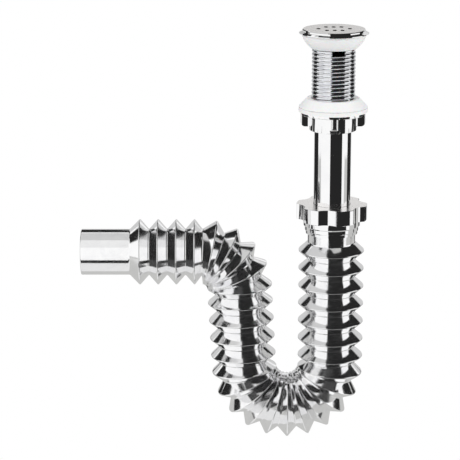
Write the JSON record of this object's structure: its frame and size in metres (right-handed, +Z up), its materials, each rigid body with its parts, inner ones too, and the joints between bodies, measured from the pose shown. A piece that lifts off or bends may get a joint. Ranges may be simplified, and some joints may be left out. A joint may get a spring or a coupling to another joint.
{
  "type": "flexible basin trap with waste",
  "caption": "Chromed basin waste with strainer, white gaskets, union and slip nuts and a tail tube above a bellows pipe bent into a water seal with a plain outlet.",
  "frame": {"origin": "on the axis of the waste, at the underside of the flange rim that sits on the basin", "axes": "+Z up along the waste towards the strainer, -X along the outlet"},
  "size_m": [0.249, 0.0608, 0.3663],
  "materials": {
    "waste_chrome": "polished chrome plate with a satin strainer face",
    "nut_chrome": "polished chrome plate on moulded plastic",
    "tube_chrome": "polished chrome plate",
    "bellows_chrome": "bright metallised film on blown plastic",
    "white_gasket": "soft white moulded plastic",
    "natural_plastic": "plain moulded plastic",
    "black_rubber": "plain black rubber"
  },
  "bodies": {
    "waste": {"waste_body": "waste_chrome", "upper_gasket": "white_gasket"},
    "tube": {"tail_tube": "tube_chrome", "tail_washer": "black_rubber"},
    "union": {"top_nut": "nut_chrome", "lower_gasket": "white_gasket"},
    "seal": {"slip_seal": "black_rubber"},
    "pipe": {"flexible_pipe": "bellows_chrome"},
    "slip_ring": {"friction_ring": "natural_plastic"},
    "slip_cap": {"slip_nut": "nut_chrome"}
  },
  "joints": [
    {"name": "tail_drop", "type": "slide", "parent": "waste", "child": "tube", "axis": [0, 0, -1], "range_m": [0, 0.00495]},
    {"name": "union_turn", "type": "hinge", "parent": "tube", "child": "union", "pos_m": [0, 0, -0.0755], "axis": [0, 0, -1], "range_deg": [0, 540]},
    {"name": "height_slide", "type": "slide", "parent": "tube", "child": "seal", "axis": [0, 0, 1], "range_m": [-0.035, 0.05]},
    {"name": "pipe_swivel", "type": "hinge", "parent": "seal", "child": "pipe", "pos_m": [0, 0, -0.17], "axis": [0, 0, 1], "continuous": true},
    {"name": "slip_rise", "type": "slide", "parent": "pipe", "child": "slip_ring", "axis": [0, 0, 1], "range_m": [0, 0.0075]},
    {"name": "slip_turn", "type": "hinge", "parent": "slip_ring", "child": "slip_cap", "pos_m": [0, 0, -0.163], "axis": [0, 0, 1], "range_deg": [0, 900]}
  ],
  "couplings": [
    {"joint": "tail_drop", "follows": "union_turn", "m_per_rad": 0.00052521},
    {"joint": "slip_rise", "follows": "slip_turn", "m_per_rad": 0.00047746}
  ]
}
